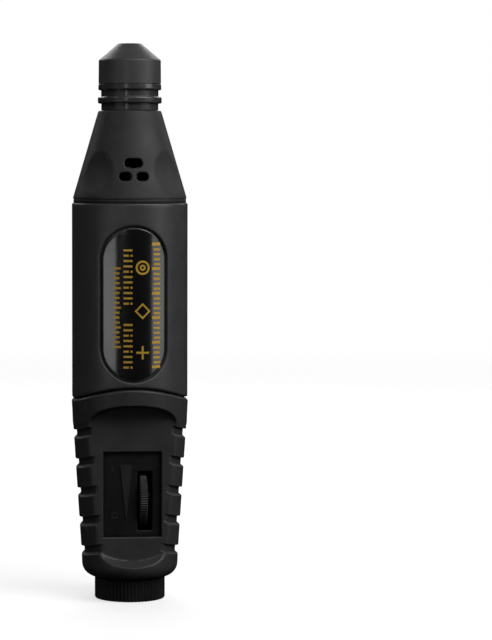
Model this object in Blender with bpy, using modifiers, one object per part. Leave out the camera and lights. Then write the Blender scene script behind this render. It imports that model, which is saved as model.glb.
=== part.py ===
"""Pen-shaped electric nail drill, built as the assembly it is on the bench.

All sizes below are millimetres; the helper functions turn them into metres.
The tail's end face is at z = 0, +Z runs along the axis to the nose, and -Y is the front,
with the label and the speed wheel.
"""

import math

import bmesh
import bpy
from mathutils import Matrix

MM = 0.001
MERGE = 0.00001  # metres: merge distance of the modifiers that merge
GAP = 0.3  # clearance between pieces that rest on each other
FIT = 0.15  # clearance between turned pieces that share an axis and a facet count

# Facets round the axis
SHELL_STEPS = 40
NECK_STEPS = 32
INNER_STEPS = 24
SMALL_STEPS = 16

# Heights of the joints along the axis
TOTAL = 138.2
CAP_REAR = 128.35
COLLAR_REAR = 121.9
NOSE_REAR = 99.8
BARREL_TOP = 98.8
SEAM = 50.0  # barrel to grip, at the sides; it arches up at the front and back
GRIP_REAR = 5.6

# Outer radii
CAP_R = 7.75
COLLAR_R = 7.85
NOSE_R = 14.2
BARREL_R = 14.4
BARREL_BORE = 12.75
GRIP_TOP_R = 14.55
GRIP_TAIL_R = 11.98
TAIL_R = 8.78

# Grip details
ARCH = 3.4  # how far the seam and the grooves rise at the front and back
WALL = 1.6
THIN_WALL = 1.2  # what is left behind a groove
GRIP_TAPER_END = 9.0
GROOVE_DEPTH = 0.75
GROOVE_HEIGHT = 2.1
GROOVES = [11.13 + 7.4875 * i for i in range(5)]
POCKET_Y = -8.6  # the pocket's flat floor
FLOOR_BACK = POCKET_Y + WALL
POCKET_TOP = (11.0, 43.5, 5.65, 2.4)  # half width, base height, rise and power of the hood's arch
POCKET_END = (8.9, 13.7, 4.2)  # half width, base height and drop of the rounded lower end

# Control panel and speed wheel
WINDOW = (7.25, 16.2, 37.5)  # half width, bottom and top
PANEL_Y = -7.4
PANEL_BACK = -6.5
SLOT = (1.3, 5.0, 17.8, 32.45)  # left, right, bottom and top
WHEEL_R = 6.9
WHEEL_X = (1.75, 3.8)
WHEEL_Y = -3.0
WHEEL_Z = 25.3
WHEEL_RIDGES = 72
WEDGE = (-1.5, 1.5, 20.4, 34.2)  # centre, half width, tip and top

# Label
LABEL = (7.8, 55.6, 92.85)  # half width, bottom and top
LABEL_GROOVE = 0.6
LABEL_R = 14.3
RECESS_R = 13.4

# Motor, a 24 mm round can
CAN_R = 12.2
CAN_WALL = 0.8
CAN_REAR = 63.6
CAN_FRONT = 92.0
SHAFT_R = 1.0
SHAFT_ENDS = (60.3, 108.0)
MOUNT_SCREW_R = 8.0  # radius of the screw circle
POLES = 3

# Spindle, made for bits with a 2.35 mm shank
SHANK_R = 1.175
SPINDLE_TOP = 133.5
SPINDLE_REAR = 101.0
JOURNAL_R = 2.45

# Direct-current socket for a 3.5 mm plug
PLUG_R = 1.75
SOCKET_R = 4.1
SOCKET_FACE = 0.7
SOCKET_REAR = 10.5

TAIL_RIBS = 60


def material(name, colour, roughness, metallic=0.0):
    made = bpy.data.materials.new(name)
    made.use_nodes = True
    shader = made.node_tree.nodes["Principled BSDF"]
    shader.inputs["Base Color"].default_value = (*colour, 1.0)
    shader.inputs["Roughness"].default_value = roughness
    shader.inputs["Metallic"].default_value = metallic
    made.diffuse_color = (*colour, 1.0)
    return made


def start():
    """An empty scene with one collection for the parts and one for the cutters."""
    for obj in list(bpy.data.objects):
        bpy.data.objects.remove(obj)
    for name in ("nail_drill", "cutters"):
        bpy.context.scene.collection.children.link(bpy.data.collections.new(name))


def link(obj, finish):
    """Puts a part in its collection with its own material, or a cutter (finish None) among the cutters."""
    for home in list(obj.users_collection):
        home.objects.unlink(obj)
    if finish is None:
        bpy.data.collections["cutters"].objects.link(obj)
        obj.hide_render = True
        obj.display_type = "WIRE"
        return obj
    bpy.data.collections["nail_drill"].objects.link(obj)
    obj.data.materials.clear()
    obj.data.materials.append(material(obj.name, *finish))
    return obj


# Colour, roughness and metallic value of each kind of piece
BLACK_PLASTIC = ((0.035, 0.035, 0.037), 0.42)
GLOSS_BLACK = ((0.012, 0.012, 0.013), 0.12)
DARK_PLASTIC = ((0.02, 0.02, 0.021), 0.5)
RUBBER = ((0.03, 0.03, 0.03), 0.8)
FELT = ((0.55, 0.55, 0.52), 0.95)
STEEL = ((0.6, 0.6, 0.62), 0.28, 1.0)
ZINC = ((0.66, 0.66, 0.64), 0.35, 1.0)
BRASS = ((0.78, 0.6, 0.3), 0.3, 1.0)
BRONZE = ((0.55, 0.38, 0.2), 0.5, 1.0)
COPPER = ((0.72, 0.36, 0.2), 0.35, 1.0)
FERRITE = ((0.06, 0.06, 0.065), 0.7)
CARBON = ((0.05, 0.05, 0.05), 0.6)
BOARD = ((0.5, 0.36, 0.14), 0.6)
PHENOLIC = ((0.2, 0.1, 0.05), 0.6)
ALUMINIUM = ((0.8, 0.8, 0.8), 0.3, 1.0)
RED = ((0.55, 0.03, 0.02), 0.5)
BLACK_WIRE = ((0.02, 0.02, 0.02), 0.5)


def turned(name, profile, finish, steps=INNER_STEPS):
    """(radius, height) points, down the outside and back up the bore, turned about local Z."""
    mesh = bpy.data.meshes.new(name)
    edges = [(i, i + 1) for i in range(len(profile) - 1)]
    if profile[0][0] > 0:
        edges.append((len(profile) - 1, 0))
    mesh.from_pydata([(r * MM, 0, z * MM) for r, z in profile], edges, [])
    obj = bpy.data.objects.new(name, mesh)
    turn = obj.modifiers.new("turn", "SCREW")
    turn.steps = turn.render_steps = steps
    turn.use_merge_vertices = True
    turn.merge_threshold = MERGE
    return link(obj, finish)


def tube(name, outer, inner, bottom, top, finish, steps=INNER_STEPS):
    """A plain ring or, with inner 0, a plain rod, standing on Z."""
    bore = [(inner, bottom), (inner, top)] if inner else [(0, bottom)]
    start_point = [] if inner else [(0, top)]
    return turned(name, start_point + [(outer, top), (outer, bottom)] + bore, finish, steps)


def box(name, low, high, finish):
    """A block between two corners."""
    centre = [(a + b) / 2 * MM for a, b in zip(low, high)]
    bpy.ops.mesh.primitive_cube_add(size=1, location=centre)
    obj = bpy.context.active_object
    obj.name = obj.data.name = name
    sides = [(b - a) * MM for a, b in zip(low, high)]
    obj.data.transform(Matrix.Diagonal((*sides, 1)))
    return link(obj, finish)


def rod_cutter(name, radius, low, high, axis="Z", centre=(0, 0, 0), steps=SMALL_STEPS):
    """A round cutter along an axis, with flat one-piece ends."""
    mesh = bpy.data.meshes.new(name)
    work = bmesh.new()
    turn = {"X": Matrix.Rotation(math.radians(90), 4, "Y"), "Y": Matrix.Rotation(math.radians(-90), 4, "X")}
    middle = Matrix.Translation((0, 0, (low + high) / 2 * MM))
    place = Matrix.Translation([c * MM for c in centre]) @ turn.get(axis, Matrix()) @ middle
    bmesh.ops.create_cone(
        work, cap_ends=True, segments=steps, radius1=radius * MM, radius2=radius * MM,
        depth=(high - low) * MM, matrix=place,
    )
    work.to_mesh(mesh)
    work.free()
    return link(bpy.data.objects.new(name, mesh), None)


def as_mesh(source, finish):
    """The mesh that an object's modifiers or curve make, as a new object in its place."""
    bpy.context.view_layer.update()
    evaluated = source.evaluated_get(bpy.context.evaluated_depsgraph_get())
    mesh = bpy.data.meshes.new_from_object(evaluated)
    work = bmesh.new()
    work.from_mesh(mesh)
    bmesh.ops.remove_doubles(work, verts=work.verts, dist=MERGE)
    work.to_mesh(mesh)
    work.free()
    name, matrix = source.name, source.matrix_world.copy()
    bpy.data.objects.remove(source)
    obj = bpy.data.objects.new(name, mesh)
    obj.matrix_world = matrix
    return link(obj, finish)


def prism(name, outlines, low, high, finish, axis="Y", chamfer=0.0):
    """Closed outlines, the first with the others as holes, extruded along an axis from low to high.

    For axis Y an outline's points are (x, z), for X they are (y, z) and for Z they are (x, y).
    """
    curve = bpy.data.curves.new(name, "CURVE")
    curve.dimensions = "2D"
    curve.fill_mode = "BOTH"
    curve.extrude = ((high - low) / 2 - chamfer) * MM
    curve.bevel_depth = chamfer * MM
    curve.bevel_resolution = 0
    curve.offset = -chamfer * MM
    for outline in outlines:
        spline = curve.splines.new("POLY")
        spline.points.add(len(outline) - 1)
        for point, (a, b) in zip(spline.points, outline):
            point.co = (a * MM, b * MM, 0, 1)
        spline.use_cyclic_u = True
    obj = bpy.data.objects.new(name, curve)
    link(obj, finish)
    middle = (low + high) / 2 * MM
    obj.matrix_world = {
        "X": Matrix(((0, 0, 1, middle), (1, 0, 0, 0), (0, 1, 0, 0), (0, 0, 0, 1))),
        "Y": Matrix(((1, 0, 0, 0), (0, 0, -1, middle), (0, 1, 0, 0), (0, 0, 0, 1))),
        "Z": Matrix.Translation((0, 0, middle)),
    }[axis]
    return as_mesh(obj, finish)


def wire(name, points, radius, finish):
    """A smooth round wire through a few points."""
    curve = bpy.data.curves.new(name, "CURVE")
    curve.dimensions = "3D"
    curve.bevel_depth = radius * MM
    curve.bevel_resolution = 1
    curve.use_fill_caps = True
    curve.resolution_u = 4
    spline = curve.splines.new("NURBS")
    spline.points.add(len(points) - 1)
    for point, place in zip(spline.points, points):
        point.co = (*(c * MM for c in place), 1)
    spline.order_u = 3
    spline.use_endpoint_u = True
    return link(bpy.data.objects.new(name, curve), finish)


def boolean(target, other, operation="DIFFERENCE"):
    step = target.modifiers.new(other.name, "BOOLEAN")
    step.operation = operation
    step.solver = "EXACT"
    step.object = other
    return target


def turned_to(obj, angle):
    """Turns an object about the drill's axis."""
    obj.rotation_euler.z = math.radians(angle)
    return obj


def ring_of(radius, count, start_angle=0.0):
    """Points evenly spaced on a circle."""
    angles = [math.radians(start_angle) + math.tau * i / count for i in range(count)]
    return [(radius * math.cos(a), radius * math.sin(a)) for a in angles]


def ribbed(radius, depth, ribs):
    """The outline of a knurled disc: one crest and one valley for each rib."""
    crests = ring_of(radius, ribs)
    valleys = ring_of(radius - depth, ribs, 180.0 / ribs)
    return [point for pair in zip(crests, valleys) for point in pair]


def stadium(half_width, bottom, top, steps=10):
    """A round-ended outline, taller than it is wide or the other way round."""
    half_height = (top - bottom) / 2
    radius = min(half_width, half_height)
    points = []
    for corner in range(4):
        side_x = 1 if corner in (0, 3) else -1
        side_z = 1 if corner < 2 else -1
        for i in range(steps + 1):
            angle = math.radians(90 * corner + 90 * i / steps)
            points.append(
                (
                    side_x * (half_width - radius) + radius * math.cos(angle),
                    (bottom + top) / 2 + side_z * (half_height - radius) + radius * math.sin(angle),
                )
            )
    return [p for i, p in enumerate(points) if math.dist(p, points[i - 1]) > 1e-6]


def arch_rise(x, radius=BARREL_R):
    """Rise of the seam and grooves, full on the front and back and nothing at the sides."""
    return ARCH * (1 - (x / radius) ** 2)


def arched(obj, finish, full_above, none_below):
    """Bakes an object and lifts its points into the arch, fading out between two heights."""
    obj = as_mesh(obj, finish)
    for vertex in obj.data.vertices:
        share = (vertex.co.z / MM - none_below) / (full_above - none_below)
        share = min(1.0, max(0.0, share))
        vertex.co.z += share * arch_rise(vertex.co.x / MM) * MM
    return obj


# --- Nose -----------------------------------------------------------------------------------


def nose_cap():
    """The cone-tipped cap. The bit's shank passes through its bore."""
    return turned(
        "nose_cap",
        [
            (2.8, TOTAL),
            (3.05, TOTAL - 0.15),
            (7.45, TOTAL - 3.9),
            (7.7, TOTAL - 4.3),
            (CAP_R, CAP_REAR + 0.2),
            (7.6, CAP_REAR),
            (6.4, CAP_REAR),
            (6.4, 132.4),
            (3.6, 134.6),
            (1.6, 135.4),
            (1.6, TOTAL),
        ],
        BLACK_PLASTIC,
        NECK_STEPS,
    )


def neck_collar():
    """Flange, bead and two finger grooves, with a spigot at each end and the bush's bore."""
    flange, bead = 126.75, 123.35
    return turned(
        "neck_collar",
        [
            (6.1, 131.6),
            (6.1, 128.1),
            (COLLAR_R, 128.1),
            (COLLAR_R, flange),
            (7.15, flange),
            (7.15, bead + 1.75),
            (7.92, bead + 1.35),
            (7.92, bead + 0.4),
            (7.1, bead),
            (7.1, COLLAR_REAR + GAP),
            (6.6, COLLAR_REAR + GAP),
            (6.6, 115.6),
            (4.0, 115.6),
            (4.0, 121.4),
            (4.7, 121.4),
            (4.7, 128.4),
            (5.3, 128.4),
            (5.3, 131.6),
        ],
        BLACK_PLASTIC,
        NECK_STEPS,
    )


def dimple(angle):
    """Cutter for a finger dimple: flat round the cone and curved along it."""
    bpy.ops.mesh.primitive_uv_sphere_add(segments=32, ring_count=16, radius=MM)
    cutter = bpy.context.active_object
    cutter.name = f"dimple_{angle:.0f}"
    radius, depth = 12.35, 0.9
    slope = Matrix.Rotation(math.radians(-16.5), 4, "X")
    squash = Matrix.Diagonal((19, 6, 9.7, 1))
    out = Matrix.Translation((0, (-radius - 6 + depth) * MM, 106.6 * MM))
    turn = Matrix.Rotation(math.radians(angle), 4, "Z")
    cutter.data.transform(turn @ out @ slope @ squash)
    return link(cutter, None)


def vent(name, centre_x, centre_z, half_width, half_height, side):
    """Cutter for one round-ended vent, on the front (side -1) or the back (side 1)."""
    outline = [
        (x + centre_x, z)
        for x, z in stadium(half_width, centre_z - half_height, centre_z + half_height, 4)
    ]
    return prism(name, [outline], *sorted((side * 6.0, side * 16.0)), None)


def nosepiece():
    """The tapered front housing, with three vents front and back and four finger dimples."""
    shell = turned(
        "nosepiece",
        [
            (7.6, COLLAR_REAR),
            (7.85, COLLAR_REAR - 0.25),
            (14.05, NOSE_REAR + 0.65),
            (NOSE_R, NOSE_REAR + 0.2),
            (14.0, NOSE_REAR),
            (13.9, NOSE_REAR - 0.15),
            (13.9, BARREL_TOP + GAP),
            (12.5, BARREL_TOP + GAP),
            (12.5, 94.4),
            (11.3, 94.4),
            (11.9, NOSE_REAR + 0.5),
            (7.2, 115.4),
            (6.9, 115.4),
            (6.9, COLLAR_REAR),
        ],
        BLACK_PLASTIC,
        SHELL_STEPS,
    )
    for angle in (46, 134, 226, 314):
        boolean(shell, dimple(angle))
    for side, face in ((-1, "front"), (1, "back")):
        boolean(shell, vent(f"vent_{face}_top", 0, 108.6, 2.25, 1.17, side))
        boolean(shell, vent(f"vent_{face}_left", -2.1, 105.35, 1.57, 1.05, side))
        boolean(shell, vent(f"vent_{face}_right", 2.1, 105.35, 1.57, 1.05, side))
    return shell


def spindle():
    """The chuck: a steel sleeve pressed on the motor's shaft, with a socket for the bit."""
    turned(
        "spindle",
        [
            (1.95, SPINDLE_TOP),
            (2.2, SPINDLE_TOP - 0.25),
            (2.2, 130.9),
            (JOURNAL_R, 130.6),
            (JOURNAL_R, 121.2),
            (3.1, 121.2),
            (3.1, SPINDLE_REAR + 0.4),
            (2.7, SPINDLE_REAR),
            (SHAFT_R + 0.05, SPINDLE_REAR),
            (SHAFT_R + 0.05, 108.4),
            (0.6, 108.7),
            (0.6, 113.0),
            (1.7, 113.0),
            (1.7, SPINDLE_TOP),
        ],
        STEEL,
    )
    sleeve = tube("bit_sleeve", 1.6, SHANK_R + 0.03, 113.4, SPINDLE_TOP - 0.5, BRASS)
    slit = box("sleeve_slit", (0, -0.2, 116.0), (3, 0.2, 140.0), None)
    boolean(sleeve, slit)


def nose_bearing():
    """The sintered bush, the washer under it and the felt dust seal over it."""
    tube("front_bush", 4.55, JOURNAL_R + 0.06, 122.0, 128.0, BRONZE)
    tube("thrust_washer", 4.4, JOURNAL_R + 0.15, 121.5, 121.9, STEEL)
    tube("dust_seal", 5.15, JOURNAL_R + 0.1, 128.6, 130.2, FELT)


# --- Motor ----------------------------------------------------------------------------------


def motor_case():
    """Can, end cap, bushes and damper ring, with the mount and its two screws."""
    inner = CAN_R - CAN_WALL
    can = turned(
        "motor_can",
        [
            (3.1, CAN_FRONT + 1.4),
            (3.1, CAN_FRONT),
            (CAN_R - 0.6, CAN_FRONT),
            (CAN_R, CAN_FRONT - 0.6),
            (CAN_R, CAN_REAR),
            (inner, CAN_REAR),
            (inner, CAN_FRONT - CAN_WALL),
            (2.45, CAN_FRONT - CAN_WALL),
            (2.45, CAN_FRONT + 1.4),
        ],
        ZINC,
        SHELL_STEPS,
    )
    end_cap = turned(
        "motor_end_cap",
        [
            (11.2, 65.2),
            (11.2, CAN_REAR - GAP),
            (12.0, CAN_REAR - GAP),
            (12.0, 61.6),
            (3.4, 61.6),
            (3.4, 60.0),
            (1.3, 60.0),
            (1.3, 60.6),
            (2.45, 60.6),
            (2.45, 63.0),
            (2.45, 64.0),
            (10.0, 64.0),
            (10.0, 65.2),
        ],
        DARK_PLASTIC,
    )
    tube("motor_front_bush", 2.35, SHAFT_R + 0.05, CAN_FRONT - 1.4, CAN_FRONT + 1.2, BRONZE)
    tube("motor_rear_bush", 2.35, SHAFT_R + 0.05, 60.9, 63.6, BRONZE)
    tube("motor_damper", 12.6, CAN_R + 0.1, 66.0, 70.0, RUBBER, SHELL_STEPS)
    mount = tube("motor_mount", 12.4, 3.4, CAN_FRONT + GAP, 94.1, DARK_PLASTIC, SHELL_STEPS)
    for side, word in ((-1, "left"), (1, "right")):
        screw = turned(
            f"motor_screw_{word}",
            [(0, 95.6), (1.6, 95.6), (1.9, 95.2), (1.9, 94.4), (0.95, 94.4), (0.95, 90.6), (0, 90.6)],
            STEEL,
            SMALL_STEPS,
        )
        screw.location.x = side * MOUNT_SCREW_R * MM
        hole = rod_cutter(f"screw_hole_{word}", 1.15, 88, 97, "Z", (side * MOUNT_SCREW_R, 0, 0))
        boolean(can, hole)
        boolean(mount, hole)
        terminal = box(
            f"motor_terminal_{word}",
            *sorted(((side * 7.4, -1.2, 58.4), (side * 7.9, 1.2, 66.4))),
            COPPER,
        )
        slot = box(
            f"terminal_slot_{word}",
            *sorted(((side * 7.2, -1.4, 58), (side * 8.1, 1.4, 67))),
            None,
        )
        boolean(end_cap, slot)
        terminal.data.name = terminal.name
        box(
            f"brush_{word}",
            *sorted(((side * 2.8, -1.0, 66.2), (side * 7.1, 1.0, 67.8))),
            CARBON,
        )


def sector(inner, outer, half_angle, steps=10):
    """The outline of a curved block, centred on +X."""
    angles = [math.radians(half_angle) * (2 * i / steps - 1) for i in range(steps + 1)]
    outside = [(outer * math.cos(a), outer * math.sin(a)) for a in angles]
    inside = [(inner * math.cos(a), inner * math.sin(a)) for a in reversed(angles)]
    return outside + inside


def motor_magnets():
    for angle, word in ((0, "right"), (180, "left")):
        magnet = prism(f"magnet_{word}", [sector(9.4, 11.25, 58)], 68.5, 88.5, FERRITE, "Z")
        turned_to(magnet, angle)


def pole_outline():
    """Three T-shaped poles on a hub, going once round."""
    hub, neck, tip_in, tip_out, spread = 3.2, 1.6, 7.5, 8.9, 48
    lean = math.degrees(math.asin(neck / hub))
    points = []
    for pole in range(POLES):
        turn = 360 / POLES * pole
        right = [(hub, -lean), (math.hypot(tip_in, neck), -math.degrees(math.atan2(neck, tip_in)))]
        tip = [(tip_in, -spread)] + [(tip_out, -spread + spread / 4 * i) for i in range(9)] + [(tip_in, spread)]
        left = [(r, -a) for r, a in reversed(right)]
        for r, a in right + tip + left:
            a = math.radians(a + turn)
            points.append((r * math.cos(a), r * math.sin(a)))
    return points


def motor_rotor():
    """Shaft, three-pole core, its windings and the commutator."""
    tube("motor_shaft", SHAFT_R, 0, *SHAFT_ENDS, STEEL)
    bore = ring_of(SHAFT_R + 0.05, INNER_STEPS)
    prism("rotor_core", [pole_outline(), bore], 71.5, 85.5, STEEL, "Z")
    for pole in range(POLES):
        winding = box(f"winding_{pole + 1}", (3.6, -3.3, 69.3), (6.0, 3.3, 87.7), COPPER)
        winding.data.transform(Matrix.Translation(winding.location))
        winding.location = (0, 0, 0)
        turned_to(winding, 360 / POLES * pole)
        core_space = box(f"core_space_{pole + 1}", (2, -1.9, 71.2), (9, 1.9, 85.8), None)
        core_space.data.transform(Matrix.Translation(core_space.location))
        core_space.location = (0, 0, 0)
        turned_to(core_space, 360 / POLES * pole)
        boolean(winding, core_space)
    tube("commutator", 2.6, SHAFT_R + 0.05, 65.8, 68.6, COPPER)


# --- Barrel and label -----------------------------------------------------------------------


def barrel():
    """The main tube. Its lower end arches with the grip, and its front holds the label's recess."""
    tube_part = turned(
        "barrel",
        [
            (14.1, BARREL_TOP),
            (14.35, BARREL_TOP - 0.25),
            (BARREL_R, SEAM + 0.55),
            (14.15, SEAM + 0.3),
            (BARREL_BORE, SEAM + 0.3),
            (BARREL_BORE, BARREL_TOP),
        ],
        BLACK_PLASTIC,
        SHELL_STEPS,
    )
    tube_part = arched(tube_part, BLACK_PLASTIC, 52, 60)
    half_width, bottom, top = LABEL
    recess = prism(
        "label_recess",
        [stadium(half_width + LABEL_GROOVE, bottom - LABEL_GROOVE, top + LABEL_GROOVE)],
        -20,
        -6,
        None,
    )
    core = rod_cutter("recess_floor", RECESS_R, 40, 110, steps=SHELL_STEPS)
    boolean(recess, core)
    boolean(tube_part, recess)


def label_plate():
    """The glossy oval plate, curved with the barrel."""
    plate = tube("label_plate", LABEL_R, RECESS_R + GAP, 50, 98, GLOSS_BLACK, SHELL_STEPS)
    outline = prism("label_outline", [stadium(*LABEL)], -20, -6, None)
    boolean(plate, outline, "INTERSECT")


# --- Grip -----------------------------------------------------------------------------------


def grip_radius(z):
    """Outer radius of the tapered grip."""
    share = (z - GRIP_TAPER_END) / (SEAM - GRIP_TAPER_END)
    return GRIP_TAIL_R + (GRIP_TOP_R - GRIP_TAIL_R) * share


def grip_outside():
    """Profile down the grip's outside: spigot, grooved taper, rounded tail and threaded spigot."""
    points = [(12.5, 55.0), (12.5, SEAM - 0.1), (14.1, SEAM - 0.1), (grip_radius(SEAM - 0.4), SEAM - 0.4)]
    for z in reversed(GROOVES):
        high, low = z + GROOVE_HEIGHT / 2, z - GROOVE_HEIGHT / 2
        points += [
            (grip_radius(high), high),
            (grip_radius(high) - GROOVE_DEPTH, high - 0.15),
            (grip_radius(low) - GROOVE_DEPTH, low + 0.15),
            (grip_radius(low), low),
        ]
    points.append((GRIP_TAIL_R, GRIP_TAPER_END))
    corner = GRIP_TAPER_END - GRIP_REAR
    for i in range(1, 5):
        angle = math.radians(90 * i / 4)
        across = (GRIP_TAIL_R - corner) + corner * math.cos(angle)
        points.append((across, GRIP_TAPER_END - corner * math.sin(angle)))
    return points + [(6.8, GRIP_REAR), (6.8, 2.0)]


def grip_cavity():
    """Profile down the hollow inside of the grip."""
    return [
        (0, 60),
        (11.3, 60),
        (11.3, SEAM - 3),
        (grip_radius(SEAM - 3) - THIN_WALL - GROOVE_DEPTH, SEAM - 3.5),
        (GRIP_TAIL_R - THIN_WALL - GROOVE_DEPTH, GRIP_TAPER_END + 1),
        (8.0, 7.4),
        (4.4, 7.2),
        (4.4, 0),
        (0, 0),
    ]


def pocket_outline(extra):
    """The thumb pocket from the front: arched hood, open sides and rounded lower end."""
    half, base, rise, power = POCKET_TOP
    steps = 24
    hood = []
    for i in range(steps + 1):
        t = math.cos(math.pi * i / steps)
        lift = (1 - abs(t) ** power) ** (1 / power)
        hood.append((t * (half + extra), base + lift * (rise + extra)))
    end_half, end_base, drop = POCKET_END
    foot = []
    for i in range(steps // 2 + 1):
        angle = math.pi + math.pi * i / (steps // 2)
        foot.append((math.cos(angle) * (end_half + extra), end_base + math.sin(angle) * (drop + extra)))
    wide = half + 4
    left_side = [(-wide, base), (-wide, end_base)]
    right_side = [(wide, end_base), (wide, base)]
    return hood + left_side + foot + right_side


def hollow(side):
    """The cutter that hollows one grip shell. It leaves the pocket's tub."""
    space = turned(f"hollow_{side}", grip_cavity(), None, SHELL_STEPS)
    space = arched(space, None, 14, 9)
    if side == "front":
        boolean(space, prism("tub", [pocket_outline(WALL)], -30, FLOOR_BACK, None))
    return space


def grip_shells():
    """Front and back half shells, held together by the barrel over one end and the tail cap over the other."""
    for side, low, high in (("front", -20, -0.1), ("back", 0.1, 20)):
        name = f"grip_{side}_shell"
        shell = turned(name, [(0, 55)] + grip_outside() + [(0, 2.0)], BLACK_PLASTIC, SHELL_STEPS)
        shell = arched(shell, BLACK_PLASTIC, 10, 9)
        boolean(shell, box(f"{side}_half", (-20, low, -5), (20, high, 70), None), "INTERSECT")
        boolean(shell, hollow(side))
        if side == "front":
            boolean(shell, prism("pocket", [pocket_outline(0)], -30, POCKET_Y, None))
            half, bottom, top = WINDOW
            boolean(shell, box("window", (-half, -12, bottom), (half, -5, top), None))


# --- Speed control --------------------------------------------------------------------------


def switch_panel():
    """The dark panel behind the window, with the wheel's slot and the raised speed wedge."""
    half, bottom, top = WINDOW
    plate = box(
        "switch_panel",
        (-half + FIT, PANEL_Y, bottom + FIT),
        (half - FIT, PANEL_BACK, top - FIT),
        DARK_PLASTIC,
    )
    flange = box(
        "panel_flange",
        (-half + FIT, FLOOR_BACK + GAP, bottom - 0.8),
        (half - FIT, PANEL_BACK + 0.9, top + 0.8),
        None,
    )
    boolean(plate, flange, "UNION")
    centre, half_wedge, tip, wedge_top = WEDGE
    wedge = prism(
        "speed_wedge",
        [[(centre - half_wedge, wedge_top), (centre, tip), (centre + half_wedge, wedge_top)]],
        PANEL_Y - 0.25,
        PANEL_Y + 0.4,
        None,
    )
    boolean(plate, wedge, "UNION")
    left, right, low, high = SLOT
    boolean(plate, box("wheel_slot", (left, -12, low), (right, 0, high), None))


def speed_wheel():
    """The knurled wheel on the potentiometer's shaft, with its screw."""
    place = Matrix.Translation((0, WHEEL_Y * MM, WHEEL_Z * MM))
    wheel = prism(
        "speed_wheel",
        [ribbed(WHEEL_R, 0.3, WHEEL_RIDGES), ring_of(1.6, INNER_STEPS)],
        *WHEEL_X,
        DARK_PLASTIC,
        "X",
        0.2,
    )
    wheel.matrix_world = place @ wheel.matrix_world
    lie_on_x = place @ Matrix.Rotation(math.radians(90), 4, "Y")
    shaft = tube("wheel_shaft", 1.5, 0, -3.3, 3.7, BRASS)
    shaft.matrix_world = lie_on_x
    screw = turned(
        "wheel_screw",
        [(0, 4.9), (1.6, 4.9), (2.1, 4.6), (2.1, 4.1), (0, 4.1)],
        STEEL,
        SMALL_STEPS,
    )
    screw.matrix_world = lie_on_x
    body = box("potentiometer", (-3.8, -5.3, 19.8), (1.45, 1.7, 30.8), PHENOLIC)
    bore = rod_cutter("potentiometer_bore", 1.7, -3.6, 3, "X", (0, WHEEL_Y, WHEEL_Z))
    boolean(body, bore)


def electronics():
    """The control board and what is soldered to it."""
    box("control_board", (-7.3, 5.2, 16.6), (7.3, 6.8, 44.0), BOARD)
    capacitor = tube("capacitor", 2.5, 0, 34.0, 42.5, ALUMINIUM)
    capacitor.location = (-3.6 * MM, 2.3 * MM, 0)
    box("power_transistor", (-2.7, 7.1, 31), (2.7, 9.3, 37), DARK_PLASTIC)
    box("driver_chip", (-2.5, 7.1, 20), (2.5, 8.6, 24), DARK_PLASTIC)
    for number, z in enumerate((22.4, 25.4, 28.4)):
        box(f"potentiometer_pin_{number + 1}", (-1.5, 2.0, z - 0.3), (-0.9, 4.9, z + 0.3), COPPER)


def wires():
    """Two leads from the socket to the board and two from the board to the motor."""
    for side, word, finish in ((1, "red", RED), (-1, "black", BLACK_WIRE)):
        wire(
            f"motor_wire_{word}",
            [
                (side * 7.65, 0, 58.0),
                (side * 7.65, 0.5, 55.5),
                (side * 7.6, 3.5, 52),
                (side * 6.6, 8.2, 49),
                (side * 5.8, 8.6, 44.5),
                (side * 5.8, 7.4, 41.5),
            ],
            0.55,
            finish,
        )
        wire(
            f"supply_wire_{word}",
            [
                (side * 2.2, 0, 13.6),
                (side * 3.0, 0.8, 15.3),
                (side * 4.6, 4.5, 14.8),
                (side * 5.0, 8.0, 15.2),
                (side * 5.0, 8.4, 18.0),
                (side * 5.0, 7.4, 20.6),
            ],
            0.55,
            finish,
        )


# --- Tail -----------------------------------------------------------------------------------


def power_socket():
    """The socket for the plug: housing, centre pin and two solder lugs."""
    turned(
        "socket_housing",
        [
            (SOCKET_R - 0.2, SOCKET_REAR),
            (SOCKET_R, SOCKET_REAR - 0.2),
            (SOCKET_R, SOCKET_FACE),
            (PLUG_R + 0.1, SOCKET_FACE),
            (PLUG_R + 0.1, 9.2),
            (0.75, 9.2),
            (0.75, SOCKET_REAR),
        ],
        DARK_PLASTIC,
    )
    turned("socket_pin", [(0, 11.2), (0.6, 11.2), (0.6, 2.2), (0.35, 1.9), (0, 1.9)], BRASS, SMALL_STEPS)
    for side, word in ((-1, "left"), (1, "right")):
        box(
            f"socket_lug_{word}",
            *sorted(((side * 1.9, -0.9, SOCKET_REAR + GAP), (side * 2.3, 0.9, 13.0))),
            COPPER,
        )


def tail_cap():
    """The ribbed cap that screws over the grip's spigot, with the hole for the plug."""
    cap = prism(
        "tail_cap",
        [ribbed(TAIL_R, 0.28, TAIL_RIBS), ring_of(4.5, SHELL_STEPS)],
        0,
        GRIP_REAR - GAP,
        BLACK_PLASTIC,
        "Z",
        0.25,
    )
    boolean(cap, rod_cutter("cap_thread", 7.1, 1.6, 9, steps=SHELL_STEPS))


def build():
    start()
    nose_cap()
    neck_collar()
    nosepiece()
    spindle()
    nose_bearing()
    motor_case()
    motor_magnets()
    motor_rotor()
    barrel()
    label_plate()
    grip_shells()
    switch_panel()
    speed_wheel()
    electronics()
    wires()
    power_socket()
    tail_cap()


build()
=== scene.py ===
"""Looks of the electric nail drill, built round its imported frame.

Shapes are worked out in millimetres and scaled to metres when their mesh is made. Angles
round the axis are measured from the front (-Y) towards the right (+X).
"""

import math

import bmesh
import bpy
import numpy as np
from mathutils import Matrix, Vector
from mathutils.geometry import delaunay_2d_cdt


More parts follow.
